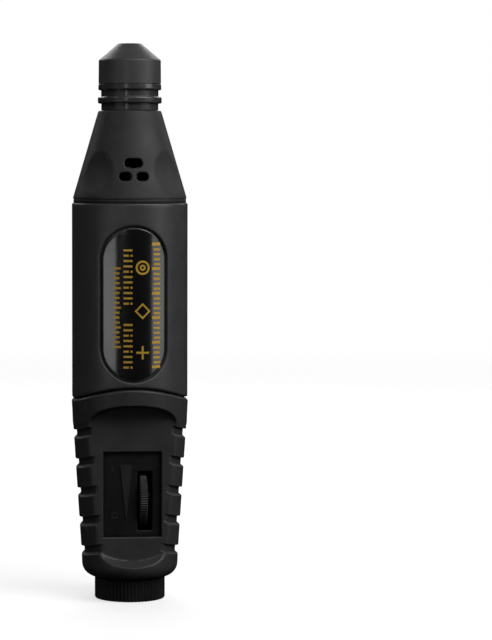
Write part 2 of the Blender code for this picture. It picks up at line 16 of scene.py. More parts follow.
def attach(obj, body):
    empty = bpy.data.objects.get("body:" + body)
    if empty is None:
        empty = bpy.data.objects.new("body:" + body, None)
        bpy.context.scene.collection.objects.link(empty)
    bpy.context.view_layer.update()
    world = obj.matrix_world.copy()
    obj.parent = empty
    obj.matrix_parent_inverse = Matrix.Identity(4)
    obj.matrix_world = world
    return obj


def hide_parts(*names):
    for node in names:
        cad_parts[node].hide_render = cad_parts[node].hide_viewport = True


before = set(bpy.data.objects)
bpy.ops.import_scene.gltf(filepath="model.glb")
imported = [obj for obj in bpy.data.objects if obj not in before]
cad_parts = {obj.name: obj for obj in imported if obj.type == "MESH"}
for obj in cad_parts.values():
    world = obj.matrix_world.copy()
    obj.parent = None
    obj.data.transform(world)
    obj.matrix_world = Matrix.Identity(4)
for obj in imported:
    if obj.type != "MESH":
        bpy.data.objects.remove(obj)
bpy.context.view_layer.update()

MM = 0.001

# Sizes shared by several pieces, as in the frame. Heights are above the end of the tail.
TOTAL = 138.2
CAP_REAR = 128.35
COLLAR_REAR = 121.6
NOSE_REAR = 99.8
BARREL_TOP = 98.8
BARREL_R = 14.4
BARREL_BORE = 12.75  # radius
GRIP_START = 9.0  # where the rounded tail end of the grip runs into its cone
GRIP_TAIL_R = 11.98
GRIP_TOP_R = 14.545
TAIL_R = 8.78
SEAM = 50.0
SEAM_GAP = 0.45
ARCH = 3.4  # rise of the seam at the front and the back, over its height at the sides
LABEL = (7.8, 55.6, 92.85)  # half width, bottom and top
LABEL_R = 14.3
POCKET_Y = -8.6
PANEL_Y = -7.4
PANEL_STEP = 0.75  # from the panel's face back to its flange
GROOVES = [11.13 + 7.4875 * i for i in range(5)]
WINDOW = (7.25, 16.2, 37.5)  # half width, bottom and top
SLOT = (1.3, 5.0, 17.8, 32.45)  # left, right, bottom and top


# --- Materials ---

MIX_A, MIX_B, MIX_RESULT = 6, 7, 2  # colour sockets of a Mix node, which share their names


def fill(node, values):
    """Sets inputs of a node by name."""
    for key, value in values.items():
        node.inputs[key].default_value = value


class Finish:
    """A Principled material whose colour, roughness and bump come from procedural nodes."""

    def __init__(self, name, metallic=0.0, specular=0.5, coat=0.0, coat_rough=0.05, coat_ior=1.5):
        self.made = bpy.data.materials.new(name)
        self.made.use_nodes = True
        self.tree = self.made.node_tree
        self.shader = self.tree.nodes["Principled BSDF"]
        fill(self.shader, {"Metallic": metallic, "Specular IOR Level": specular})
        fill(self.shader, {"Coat Weight": coat, "Coat Roughness": coat_rough, "Coat IOR": coat_ior})
        self.place = self.node("ShaderNodeTexCoord").outputs["Object"]
        self.bump = None

    def node(self, kind, **values):
        """A new node, with some of its settings."""
        made = self.tree.nodes.new(kind)
        for key, value in values.items():
            setattr(made, key, value)
        return made

    def link(self, a, b):
        self.tree.links.new(a, b)

    def noise(self, size, detail=3.0, stretch=(1, 1, 1)):
        """Noise with features of about size millimetres, from 0 to 1 about 0.5."""
        mapping = self.node("ShaderNodeMapping")
        fill(mapping, {"Scale": stretch})
        self.link(self.place, mapping.inputs["Vector"])
        made = self.node("ShaderNodeTexNoise")
        fill(made, {"Scale": 1.0 / (size * MM), "Detail": detail})
        self.link(mapping.outputs["Vector"], made.inputs["Vector"])
        return made.outputs["Fac"]

    def mapped(self, source, low, high, start=0.3, end=0.7):
        """source between start and end, turned into low to high."""
        made = self.node("ShaderNodeMapRange")
        fill(made, {"From Min": start, "From Max": end, "To Min": low, "To Max": high})
        self.link(source, made.inputs["Value"])
        return made.outputs["Result"]

    def mixed(self, factor, a, b):
        """Colour a to b by a factor. Each is a plain colour or the output of a node."""
        made = self.node("ShaderNodeMix", data_type="RGBA")
        self.link(factor, made.inputs["Factor"])
        for socket, value in ((made.inputs[MIX_A], a), (made.inputs[MIX_B], b)):
            if isinstance(value, tuple):
                socket.default_value = (*value, 1.0)
            else:
                self.link(value, socket)
        return made.outputs[MIX_RESULT]

    def colour(self, low, high, size=3.0, stretch=(1, 1, 1), wear=None):
        """Mottled between two colours, with worn edges of a third colour."""
        mixed = self.mixed(self.mapped(self.noise(size, 4.0, stretch), 0.0, 1.0), low, high)
        if wear:
            mixed = self.mixed(self.edges(), mixed, wear)
        self.link(mixed, self.shader.inputs["Base Color"])
        return self

    def edges(self):
        """1 along outward edges that hands rub, broken up by noise."""
        point = self.node("ShaderNodeNewGeometry").outputs["Pointiness"]
        sharp = self.mapped(point, 0.0, 1.0, 0.53, 0.62)
        broken = self.mapped(self.noise(0.8, 5.0), 0.0, 1.0, 0.4, 0.7)
        product = self.node("ShaderNodeMath", operation="MULTIPLY")
        self.link(sharp, product.inputs[0])
        self.link(broken, product.inputs[1])
        return product.outputs[0]

    def rough(self, low, high, size=5.0, stretch=(1, 1, 1)):
        """Roughness between two values, as finger marks and handling leave it."""
        value = self.mapped(self.noise(size, 5.0, stretch), low, high)
        self.link(value, self.shader.inputs["Roughness"])
        return self

    def relief(self, size, depth, detail=2.0, stretch=(1, 1, 1)):
        """Bumps about size across and depth high, in millimetres. Calls add up."""
        made = self.node("ShaderNodeBump")
        fill(made, {"Strength": 1.0, "Distance": depth * MM})
        self.link(self.noise(size, detail, stretch), made.inputs["Height"])
        if self.bump:
            self.link(self.bump, made.inputs["Normal"])
        self.bump = made.outputs["Normal"]
        self.link(self.bump, self.shader.inputs["Normal"])
        return self


def moulded(name, low, high, rough, grain=0.012, wear=None, specular=0.45, rings=0.0):
    """Moulded plastic with a fine spark-eroded grain, slow waviness and handling marks.

    rings is the depth of the fine rings that a turned mould leaves, in millimetres.
    """
    made = Finish(name, specular=specular).colour(low, high, 4.0, wear=wear).rough(*rough)
    made.relief(0.22, grain, 3.0).relief(2.6, 0.012, 1.0)
    if rings:
        made.relief(1.6, rings, 2.0, (0.12, 0.12, 5.0))
    return made.made


def turned_metal(name, low, high, rough, depth=0.004):
    """Metal with fine rings round the axis."""
    made = Finish(name, metallic=1.0).colour(low, high, 1.5, (1, 1, 6))
    made.rough(*rough, 1.0, (1, 1, 8))
    return made.relief(0.5, depth, 2.0, (0.2, 0.2, 8.0)).made


def grained(name, low, high, rough, size, depth, metallic=0.0):
    """A plain, slightly uneven surface, cast, sintered or pressed."""
    made = Finish(name, metallic=metallic).colour(low, high, size * 3)
    return made.rough(*rough).relief(size, depth, 4.0).made


SATIN = moulded(
    "satin_black", (0.062, 0.062, 0.063), (0.076, 0.076, 0.0772), (0.31, 0.39),
    wear=(0.09, 0.09, 0.092), specular=0.62, rings=0.014,
)
GRIP = moulded(
    "grip_black", (0.048, 0.048, 0.0488), (0.06, 0.06, 0.061), (0.34, 0.42),
    wear=(0.09, 0.09, 0.092),
)
# Painted light and shade: the nose, cap and collar are copies of the barrel's black plastic whose
# base tones were set part by part to how bright each part reads under the light; the nose's is
# darker.
NOSE = moulded(
    "nose_black", (0.041, 0.041, 0.0417), (0.052, 0.052, 0.053), (0.46, 0.56),
    wear=(0.07, 0.07, 0.072), specular=0.3, rings=0.012,
)
# Painted light: the cap's base tone is set to how bright the cap reads under the light.
CAP = moulded(
    "cap_black", (0.072, 0.072, 0.073), (0.086, 0.086, 0.087), (0.34, 0.42),
    wear=(0.11, 0.11, 0.112), specular=0.55, rings=0.014,
)
# Painted light: the collar's base tone is set to how bright the collar reads under the light.
COLLAR = (
    Finish("collar_black", specular=0.5, coat=0.7, coat_rough=0.16)
    .colour((0.05, 0.05, 0.0508), (0.064, 0.064, 0.065), 3.0, wear=(0.09, 0.09, 0.092))
    .rough(0.22, 0.32, 2.0)
    .relief(0.25, 0.006, 3.0)
    .made
)
PANEL = moulded(
    "panel_black", (0.0055, 0.0055, 0.0058), (0.009, 0.009, 0.0094), (0.42, 0.52),
    grain=0.008, wear=(0.03, 0.03, 0.03),
)
MARKS = moulded(
    "mark_black", (0.027, 0.027, 0.0278), (0.034, 0.034, 0.035), (0.36, 0.44), grain=0.004
)
WHEEL = moulded(
    "wheel_black", (0.024, 0.024, 0.0245), (0.034, 0.034, 0.035), (0.28, 0.38),
    grain=0.006, wear=(0.05, 0.05, 0.05),
)
KNOB = moulded(
    "knob_black", (0.009, 0.009, 0.0095), (0.014, 0.014, 0.0145), (0.38, 0.5),
    grain=0.006, wear=(0.035, 0.035, 0.035),
)
DARK = moulded(
    "dark_plastic", (0.008, 0.008, 0.009), (0.014, 0.014, 0.015), (0.45, 0.6), grain=0.008
)
GLOSS = (
    Finish("gloss_black", specular=0.5, coat=1.0, coat_rough=0.22, coat_ior=1.9)
    .colour((0.004, 0.004, 0.0045), (0.007, 0.007, 0.0075), 6.0)
    .rough(0.07, 0.14, 3.0)
    .relief(4.0, 0.01, 1.0)
    .made
)
GOLD = (
    Finish("gold_print", metallic=0.35)
    .colour((0.78, 0.46, 0.05), (0.9, 0.56, 0.085), 0.6)
    .rough(0.35, 0.5, 0.8)
    .relief(0.12, 0.004, 2.0)
    .made
)
STEEL = turned_metal("turned_steel", (0.5, 0.5, 0.52), (0.66, 0.66, 0.68), (0.2, 0.34))
# Painted shade: steel darkened nearly to black, so that the spindle, wheel shaft and wheel screw,
# seen through the vents and the wheel's slot, read as the shade inside.
STEEL_DARKENED_AS_SHADE = turned_metal(
    "steel_darkened_as_shade", (0.02, 0.02, 0.0215), (0.035, 0.035, 0.037), (0.38, 0.5)
)
ZINC = turned_metal("zinc_plate", (0.55, 0.56, 0.55), (0.7, 0.7, 0.68), (0.28, 0.42), 0.002)
BRASS = turned_metal("turned_brass", (0.66, 0.46, 0.18), (0.8, 0.6, 0.3), (0.2, 0.34))
COPPER = turned_metal("copper", (0.6, 0.25, 0.12), (0.75, 0.36, 0.18), (0.25, 0.4), 0.01)
BRONZE = grained(
    "sintered_bronze", (0.35, 0.22, 0.1), (0.55, 0.36, 0.18), (0.45, 0.65), 0.15, 0.02, metallic=1.0
)
ALUMINIUM = turned_metal("aluminium", (0.7, 0.7, 0.7), (0.82, 0.82, 0.82), (0.25, 0.35), 0.001)
FERRITE = grained("ferrite", (0.03, 0.03, 0.033), (0.06, 0.06, 0.065), (0.55, 0.75), 0.3, 0.02)
CARBON = grained("carbon", (0.02, 0.02, 0.02), (0.045, 0.045, 0.045), (0.5, 0.7), 0.12, 0.02)
RUBBER = grained("rubber", (0.012, 0.012, 0.012), (0.02, 0.02, 0.02), (0.7, 0.9), 0.2, 0.02)
FELT = grained("felt", (0.4, 0.4, 0.37), (0.62, 0.61, 0.57), (0.9, 1.0), 0.18, 0.12)
# Painted shade: the pot body is near black, so that, seen through the wheel's slot, it reads as the
# shade inside.
PHENOLIC = grained(
    "phenolic", (0.006, 0.0045, 0.004), (0.011, 0.008, 0.007), (0.5, 0.65), 0.35, 0.01
)
BOARD = grained(
    "solder_mask", (0.008, 0.024, 0.011), (0.014, 0.036, 0.017), (0.4, 0.55), 0.4, 0.008
)
RED_VINYL = grained(
    "red_vinyl", (0.4, 0.015, 0.012), (0.52, 0.025, 0.02), (0.35, 0.5), 0.3, 0.006
)
BLACK_VINYL = grained(
    "black_vinyl", (0.01, 0.01, 0.01), (0.018, 0.018, 0.018), (0.35, 0.5), 0.3, 0.006
)


# --- Mesh helpers ---

WELD = 0.002  # points closer than this are joined
SLIVER = 0.0005  # edges shorter than this are dissolved
LOCKED = -100  # added to the drop of a point that sheet keeps however close a ring runs


def piece(name, points, faces, finish, body="housing", replaced=(), slot="body_plastic", sharp=38):
    """A mesh from points in millimetres, with its finish, its body and the node it stands for."""
    obj = mesh_object(name, points, faces, sharp)
    obj.data.materials.append(finish)
    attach(obj, body)
    if replaced:
        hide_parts(*replaced)
    return obj


def mesh_object(name, points, faces, sharp):
    """An object with a clean mesh, smooth up to an angle in degrees, faces outwards."""
    mesh = bpy.data.meshes.new(name)
    mesh.from_pydata((np.asarray(points, float) * MM).tolist(), [], faces)
    obj = bpy.data.objects.new(name, mesh)
    bpy.context.scene.collection.objects.link(obj)
    work = bmesh.new()
    work.from_mesh(mesh)
    bmesh.ops.remove_doubles(work, verts=work.verts, dist=WELD * MM)
    bmesh.ops.dissolve_degenerate(work, edges=work.edges, dist=SLIVER * MM)
    bmesh.ops.recalc_face_normals(work, faces=work.faces)
    work.to_mesh(mesh)
    work.free()
    shade(mesh, sharp)
    return obj


def shade(mesh, sharp):
    """Smooth shading, but for edges that turn by more than an angle in degrees."""
    mesh.shade_smooth()
    mesh.set_sharp_from_angle(angle=math.radians(sharp))


def thicken(obj, thickness, offset=-1.0):
    """Gives a sheet its wall. An offset of -1 sets it behind the faces, and 1 in front."""
    wall = obj.modifiers.new("wall", "SOLIDIFY")
    wall.thickness = thickness * MM
    wall.offset = offset


def rounded(corners):
    """A closed profile from (radius, height, fillet) corners.

    Each fillet is an arc in four steps, with a support point on either side.
    """
    steps = 4
    count = len(corners)
    out = []
    for i, (r, z, fillet) in enumerate(corners):
        here = np.array([r, z], float)
        before = np.array(corners[i - 1][:2], float) - here
        after = np.array(corners[(i + 1) % count][:2], float) - here
        a, b = np.linalg.norm(before), np.linalg.norm(after)
        if fillet <= 0 or a < 1e-6 or b < 1e-6:
            out.append(tuple(here))
            continue
        before, after = before / a, after / b
        half = math.acos(max(-1.0, min(1.0, float(before @ after)))) / 2
        # Neighbouring fillets may not meet
        reach = min(fillet / math.tan(half), 0.42 * a, 0.42 * b)
        fillet = reach * math.tan(half)
        middle = (before + after) / np.linalg.norm(before + after)
        centre = here + middle * fillet / math.sin(half)
        support = min(0.12, 0.1 * a, 0.1 * b)
        out.append(tuple(here + before * (reach + support)))
        start, end = here + before * reach - centre, here + after * reach - centre
        turn = math.pi - 2 * half
        for k in range(steps + 1):
            t = k / steps
            mixed = (math.sin((1 - t) * turn) * start + math.sin(t * turn) * end) / math.sin(turn)
            out.append(tuple(centre + mixed))
        out.append(tuple(here + after * (reach + support)))
    return out


def wrapped(rows, close_rows=True):
    """Points and quads of a grid whose columns run once round, and whose rows may too."""
    rows = np.asarray(rows, float)
    n, m = rows.shape[:2]
    faces = []
    for i in range(n if close_rows else n - 1):
        k = (i + 1) % n
        for j in range(m):
            right = (j + 1) % m
            faces.append((i * m + j, i * m + right, k * m + right, k * m + j))
    return rows.reshape(-1, 3), faces


def smooth(t):
    """Eases t from 0 to 1."""
    return t * t * (3 - 2 * t)


def placed(r, angle, z):
    """Points from arrays of radius, angle and height."""
    return np.stack([r * np.sin(angle), -r * np.cos(angle), z], axis=-1)


def even(count):
    return np.linspace(0, math.tau, count, endpoint=False)


def lathe(name, corners, finish, steps=144, **more):
    """A turned piece that stands on the axis."""
    r, z = np.array(rounded(corners), float).T
    across = np.ones(steps)
    points, faces = wrapped(placed(np.outer(r, across), even(steps), np.outer(z, across)))
    return piece(name, points, faces, finish, **more)


def fluted(corners, count, samples, depth, power, start, width):
    """Angles, and grids of radius and height, of a turned shape with flutes round its rim.

    The flutes begin at the radius start and reach their depth over width. A higher power
    makes them narrower than the crests between them.
    """
    angles = even(count * samples)
    r, z = np.array(rounded(corners), float).T
    crest = 0.5 + 0.5 * np.cos(count * angles)
    flute = depth * (1 - crest) ** power
    radius = r[:, None] - np.clip((r[:, None] - start) / width, 0, 1) * flute[None, :]
    return angles, radius, np.repeat(z[:, None], len(angles), 1)


def stadium(half_width, bottom, top, grow, centre, step):
    """A closed outline with round ends, grown outwards by grow, in steps of about step."""
    half_height = (top - bottom) / 2
    radius = min(half_width, half_height) + grow
    dx, dz = half_width + grow - radius, half_height + grow - radius
    middle = (bottom + top) / 2
    arc = max(6, round(radius * math.pi / 2 / step))
    out = []
    for corner, (sx, sz) in enumerate(((1, 1), (-1, 1), (-1, -1), (1, -1))):
        for i in range(arc + 1):
            angle = math.pi / 2 * (corner + i / arc)
            x = centre + sx * dx + radius * math.cos(angle)
            out.append((x, middle + sz * dz + radius * math.sin(angle)))
    dense = []
    for i, a in enumerate(out):
        b = out[(i + 1) % len(out)]
        length = math.dist(a, b)
        if length < 1e-6:
            continue
        parts = max(1, round(length / (step * 2))) if length > step * 1.5 else 1
        for k in range(parts):
            dense.append(tuple(p + (q - p) * k / parts for p, q in zip(a, b)))
    return dense


def inside(points, outline):
    """Which points lie inside a closed outline."""
    points, outline = np.asarray(points, float), np.asarray(outline, float)
    found = np.zeros(len(points), bool)
    for a, b in zip(outline, np.roll(outline, -1, axis=0)):
        if a[1] == b[1]:
            continue
        crosses = (a[1] > points[:, 1]) != (b[1] > points[:, 1])
        at = a[0] + (points[:, 1] - a[1]) * (b[0] - a[0]) / (b[1] - a[1])
        found ^= crosses & (points[:, 0] < at)
    return found


def distance(points, line, closed=True):
    """Distance from each point to a polyline."""
    points, line = np.asarray(points, float), np.asarray(line, float)
    ends = np.roll(line, -1, axis=0) if closed else line[1:]
    best = np.full(len(points), 1e9)
    for a, b in zip(line, ends):
        along = b - a
        t = np.clip(((points - a) @ along) / max(along @ along, 1e-12), 0, 1)
        best = np.minimum(best, np.linalg.norm(points - a - t[:, None] * along, axis=1))
    return best


def sheet(grid, rings, clear, holes=()):
    """A flat triangle mesh in (u, v), through grid points and along closed rings.

    grid and each ring hold (u, v, drop) rows; drop is carried along to the result. Grid points
    closer to a ring than clear are dropped, unless LOCKED. Faces inside the holes are left out.
    Returns (u, v, drop) rows and triangles.
    """
    grid = np.asarray(grid, float)
    keep = np.ones(len(grid), bool)
    for ring in rings:
        keep &= (distance(grid[:, :2], np.asarray(ring)[:, :2]) > clear) | locked(grid)
    rows, edges = [tuple(p) for p in grid[keep]], []
    for ring in rings:
        start, count = len(rows), len(ring)
        rows += [tuple(p) for p in ring]
        edges += [(start + i, start + (i + 1) % count) for i in range(count)]
    flat = [Vector(p[:2]) for p in rows]
    points, _, faces, source, _, _ = delaunay_2d_cdt(flat, edges, [], 0, 1e-7)
    drops = np.array([rows[s[0]][2] if s else 0.0 for s in source])
    uv = np.array([tuple(p) for p in points])
    for outline in holes:
        middles = np.array([uv[list(f)].mean(axis=0) for f in faces])
        faces = [f for f, within in zip(faces, inside(middles, outline)) if not within]
    drops = np.where(drops < LOCKED / 2, drops - LOCKED, drops)
    return np.column_stack([uv, drops]), [tuple(f) for f in faces]


def locked(grid):
    """Which (u, v, drop) rows are locked."""
    return grid[:, 2] < LOCKED / 2


def wall_ring(outline, radius, scale, drop, turn=0.0):
    """A ring for sheet, from an outline seen square on and laid round the axis."""
    across, height = np.array(outline).T
    angle = np.arcsin(across / radius) + turn
    return np.column_stack([angle * scale, height, np.full(len(angle), drop)])


def arch(x):
    """How far the seam rises at x to the left or right of the axis."""
    return ARCH * (1 - (x / BARREL_R) ** 2)


# --- Nose ---

NOSE_SCALE = 12.0  # millimetres across the opened-out nose for a radian
NOSE_REAR_R = 14.22
NOSE_FRONT_R = 7.8
NOSE_GROOVE_R = 14.0
NOSE_WALL = 1.5
# Centre across and height, half width and half height
VENTS = ((0.0, 108.6, 2.25, 1.17), (-2.1, 105.35, 1.57, 1.05), (2.1, 105.35, 1.57, 1.05))
# How far each ring round a vent is grown, and how deep it lies: first the rounded rim, and
# then a ledge for the back vents, so that the eye doesn't pass right through the nose
VENT_RIM = ((0.28, 0.0), (0.14, -0.035), (0.05, -0.1), (0.0, -0.2))
VENT_LEDGE = ((-0.08, -0.9), (-0.62, -0.95))
DIMPLES = (46, 134, 226, 314)  # degrees
DIMPLE = (22.5, 106.4, 5.3, 0.85)  # half angle, height of the middle, half height and depth


def nose_cap():
    rear, step = CAP_REAR - 0.07, CAP_REAR + 0.3
    profile = [
        (1.6, TOTAL, 0.12), (2.85, TOTAL, 0.3), (7.7, 134.1, 0.55), (7.75, rear, 0.05),
        (7.45, rear, 0), (7.45, step, 0), (6.4, step, 0), (6.4, 132.4, 0),
        (3.6, 134.6, 0), (1.6, 135.4, 0),
    ]
    lathe("nose_cap_shell", profile, CAP, replaced=("nose_cap",))


def neck_collar():
    """The two stepped rings between the cap and the nosepiece, and the sleeve inside them."""
    profile = [
        (6.1, 131.6, 0), (6.1, 128.5, 0), (7.35, 128.5, 0), (7.35, 128.12, 0),
        (7.77, 128.12, 0.05), (7.85, 126.72, 0.3), (7.12, 126.72, 0.12), (7.12, 125.0, 0.12),
        (7.92, 125.0, 0.7), (7.92, 123.42, 0.7), (7.08, 123.42, 0.12), (7.08, 121.75, 0),
        (6.6, 121.75, 0), (6.6, 115.6, 0), (4.0, 115.6, 0), (4.0, 121.4, 0),
        (4.7, 121.4, 0), (4.7, 128.4, 0), (5.3, 128.4, 0), (5.3, 131.6, 0),
    ]
    lathe("neck_collar_shell", profile, COLLAR, replaced=("neck_collar",))


def nose_radius(z):
    """Outer radius of the nosepiece, with its rounded ends and the seam groove below it."""
    share = (z - NOSE_REAR) / (COLLAR_REAR - NOSE_REAR)
    r = NOSE_REAR_R + (NOSE_FRONT_R - NOSE_REAR_R) * share
    top = np.clip((z - (COLLAR_REAR - 0.35)) / 0.35, 0, 1)
    foot = np.clip((NOSE_REAR + 0.5 - z) / 0.5, 0, 1)
    r = r - 0.22 * (1 - np.sqrt(1 - top**2)) - 0.28 * (1 - np.sqrt(1 - foot**2))
    return np.where(z < NOSE_REAR, NOSE_GROOVE_R, r)


def dimple_depth(angle, z):
    """Depth of the finger dimples, which fade out at their rims."""
    half_angle, middle, half_height, depth = DIMPLE
    total = np.zeros_like(z)
    for centre in DIMPLES:
        across = (np.degrees(angle) - centre + 180) % 360 - 180
        far = np.sqrt((across / half_angle) ** 2 + ((z - middle) / half_height) ** 2)
        total += depth * np.clip(1 - far**2, 0, 1) ** 1.2
    return total


def nose_grid():
    """Points over the opened-out nose, close together near its ends."""
    rows = np.concatenate(
        [
            [BARREL_TOP + 0.05, NOSE_REAR - 0.14],
            NOSE_REAR + np.array([0.0, 0.06, 0.14, 0.26, 0.5]),
            np.arange(NOSE_REAR + 1.0, COLLAR_REAR - 0.6, 0.36),
            COLLAR_REAR - np.array([0.35, 0.2, 0.1, 0.03, 0.0]),
        ]
    )
    u, v = np.meshgrid(np.linspace(-math.pi, math.pi, 241) * NOSE_SCALE, rows)
    drop = np.zeros_like(u)
    drop[[0, -1], :] = LOCKED
    drop[:, [0, -1]] = LOCKED
    return np.column_stack([u.ravel(), v.ravel(), drop.ravel()])


def build_nosepiece():
    """The sheet is cut at the side, between the vents, so that its ends meet away from them."""
    quarter = math.pi / 2
    rings, holes = [], []
    for turn, levels in ((-quarter, VENT_RIM), (quarter, VENT_RIM + VENT_LEDGE)):
        for x, z, half_width, half_height in VENTS:
            for grow, drop in levels:
                outline = stadium(half_width, z - half_height, z + half_height, grow, x, 0.22)
                radius = nose_radius(np.array(outline)[:, 1])
                rings.append(wall_ring(outline, radius, NOSE_SCALE, drop, turn))
            holes.append(rings[-1][:, :2])
    rows, faces = sheet(nose_grid(), rings, 0.2, holes)
    angle, z, drop = rows[:, 0] / NOSE_SCALE + quarter, rows[:, 1], rows[:, 2]
    points = placed(nose_radius(z) - dimple_depth(angle, z) + drop, angle, z)
    obj = piece("nosepiece_shell", points, faces, NOSE, replaced=("nosepiece",), sharp=50)
    thicken(obj, NOSE_WALL)


# --- Barrel and label ---


def build_barrel():
    """A tube whose lower end follows the seam, with a recess for the label."""
    columns = np.linspace(-math.pi, math.pi, 161)
    feet = [SEAM + SEAM_GAP + arch(BARREL_R * math.sin(angle)) for angle in columns]
    grid = []
    # Rows close to the ends, for their rounded edges
    for height, drop in ((0.0, -0.3), (0.08, -0.14), (0.2, -0.04), (0.42, 0.0)):
        tag = LOCKED + drop
        grid += [(a * BARREL_R, foot + height, tag) for a, foot in zip(columns, feet)]
        grid += [(a * BARREL_R, BARREL_TOP - height, tag) for a in columns]
    end = 0.5  # height of each end that those rows take up
    for share in np.linspace(0.01, 0.98, 44):
        for a, foot in zip(columns, feet):
            z = foot + end + (BARREL_TOP - end - foot - end) * share
            grid.append((a * BARREL_R, z, 0.0))
    half, bottom, top = LABEL
    margin = 0.6  # of the recess round the label
    rings = []
    for grow, drop in ((0.34, 0.0), (0.18, -0.03), (0.07, -0.1), (0.0, -0.24), (-0.02, -1.0)):
        outline = stadium(half + margin, bottom - margin, top + margin, grow, 0, 0.5)
        rings.append(wall_ring(outline, BARREL_R, BARREL_R, drop))
    grid = np.array(grid)
    floor = inside(grid[:, :2], rings[-1][:, :2]) & ~locked(grid)
    grid[floor, 2] = -1.0
    sides = (np.abs(np.abs(grid[:, 0]) - math.pi * BARREL_R) < 1e-6) & ~locked(grid)
    grid[sides, 2] = LOCKED
    rows, faces = sheet(grid, rings, 0.3)
    points = placed(BARREL_R + rows[:, 2], rows[:, 0] / BARREL_R, rows[:, 1]).tolist()
    # The two end faces and the bore
    count = len(columns) - 1
    ends = []
    for heights in (feet, [BARREL_TOP] * count):
        ends.append(range(len(points), len(points) + 2 * count, 2))
        for a, z in zip(columns[:count], heights):
            for r in (BARREL_R - 0.3, BARREL_BORE):
                points.append((r * math.sin(a), -r * math.cos(a), z))
    low, top = ends
    for j in range(count):
        k = (j + 1) % count
        faces += [(end[j], end[k], end[k] + 1, end[j] + 1) for end in ends]
        faces.append((low[j] + 1, low[k] + 1, top[k] + 1, top[j] + 1))
    piece("barrel_shell", points, faces, SATIN, replaced=("barrel",), sharp=50)


def build_label():
    """A thin plate with a rounded rim, wrapped round the front of the barrel."""
    half, bottom, top = LABEL
    rings = []
    rim = ((0.0, -0.85), (-0.01, -0.22), (-0.04, -0.1), (-0.1, -0.035), (-0.2, -0.005))
    for grow, drop in (*rim, (-0.34, 0.0)):
        outline = stadium(half, bottom, top, grow, 0, 0.45)
        rings.append(wall_ring(outline, BARREL_R, LABEL_R, drop))
    u, v = np.meshgrid(np.linspace(-9, 9, 25), np.linspace(bottom, top, 40))
    grid = np.column_stack([u.ravel(), v.ravel(), np.zeros(u.size)])
    grid = grid[inside(grid[:, :2], rings[-1][:, :2])]
    rows, faces = sheet(grid, rings, 0.3)
    points = placed(LABEL_R + rows[:, 2], rows[:, 0] / LABEL_R, rows[:, 1])
    obj = piece(
        "label_plate_gloss", points, faces, GLOSS,
        replaced=("label_plate",), slot="label_plastic", sharp=60,
    )
    thicken(obj, 0.05)


def slab(grid, wrap=False):
    """A thin closed slab on the label from a grid of (across, height) points."""
    grid = np.asarray(grid, float)
    n, m = grid.shape[:2]
    u, z = grid[..., 0].ravel() / LABEL_R, grid[..., 1].ravel()
    points = []
    for r in (LABEL_R + 0.035, LABEL_R - 0.03):
        points += placed(r, u, z).tolist()

    def at(i, j, under=0):
        return (under * n + i) * m + j

    faces = []
    for j in range(m if wrap else m - 1):
        k = (j + 1) % m
        for i in range(n - 1):
            corners = ((i, j), (i, k), (i + 1, k), (i + 1, j))
            faces += [tuple(at(*corner, under) for corner in corners) for under in (0, 1)]
        faces += [(at(i, j), at(i, k), at(i, k, 1), at(i, j, 1)) for i in (0, n - 1)]
    if not wrap:
        for i in range(n - 1):
            faces += [(at(i, j), at(i + 1, j), at(i + 1, j, 1), at(i, j, 1)) for j in (0, m - 1)]
    return points, faces


def dash(left, right, low, high):
    """A bar between two sides and two heights."""
    across = np.linspace(left, right, max(2, round((right - left) / 0.4) + 1))
    return slab([[(u, z) for u in across] for z in (low, high)])


def band(u, z, inner, outer, corners):
    """A closed band round (u, z) with so many corners."""
    samples = max(1, 48 // corners)
    outline = []
    for c in range(corners):
        a, b = (math.tau * (c + i) / corners for i in (0, 1))
        for k in range(samples):
            t = k / samples
            x, y = ((1 - t) * way(a) + t * way(b) for way in (math.cos, math.sin))
            outline.append((x, y))
    return slab([[(u + r * x, z + r * y) for x, y in outline] for r in (inner, outer)], True)


def build_print():
    """Plain gold ticks, dashes and shapes in place of the label's lettering."""
    shapes = []
    # A scale down the right, with a longer tick every fifth
    for i in range(26):
        z = 58.6 + 1.2 * i
        long = i % 5 == 0
        shapes.append(dash(4.4 if long else 4.8, 6.6, z, z + (0.7 if long else 0.5)))
    # Two groups of dashes down the middle
    for start, count in ((58.6, 9), (74.2, 11)):
        for i in range(count):
            z = start + 1.3 * i
            shapes.append(dash(-2.7, -0.5 if i % 3 else -1.4, z, z + 0.5))
            if i % 3 == 0:
                shapes.append(dash(-1.0, -0.5, z, z + 0.5))
    # A column of dashes down the left
    for i in range(17):
        z = 63.6 + 1.2 * i
        shapes.append(dash(-5.2, -3.7 if i % 4 else -3.4, z, z + 0.5))
    # Two rings, a diamond and a cross
    shapes.append(band(2.0, 83.2, 1.25, 1.75, 48))
    shapes.append(band(2.0, 83.2, 0.3, 0.75, 48))
    shapes.append(band(2.0, 72.6, 1.4, 2.0, 4))
    shapes.append(dash(0.4, 3.6, 62.2, 62.7))
    shapes += [dash(1.75, 2.25, low, low + 1.35) for low in (60.8, 62.75)]
    points, faces = joined(shapes)
    piece("label_print", points, faces, GOLD, slot="label_plastic", sharp=30)


# --- Grip ---

GROOVE_HALF = 1.24  # half width of a groove at the outside
GROOVE_SIDE = 0.42  # width of each of its sloping sides
GROOVE_DEPTH = 0.76
HOOD = (11.0, 43.5, 5.65)  # half width, foot and rise of the pocket's upper edge
HOOD_MIDDLE = 45.75
FOOT = (8.9, 13.7, 4.2)  # half width, top and fall of the pocket's lower edge
PAST_SIDE = 15  # across, outside the grip
# Radius, height and share of the arch of the cavity
CAVITY = ((9.4, 9.6, 0), (10.0, 20.0, 1), (10.9, 40.0, 1), (11.2, 49.7, 1))
CAVITY_FRONT = -7.0  # y of its flat front, behind the pocket


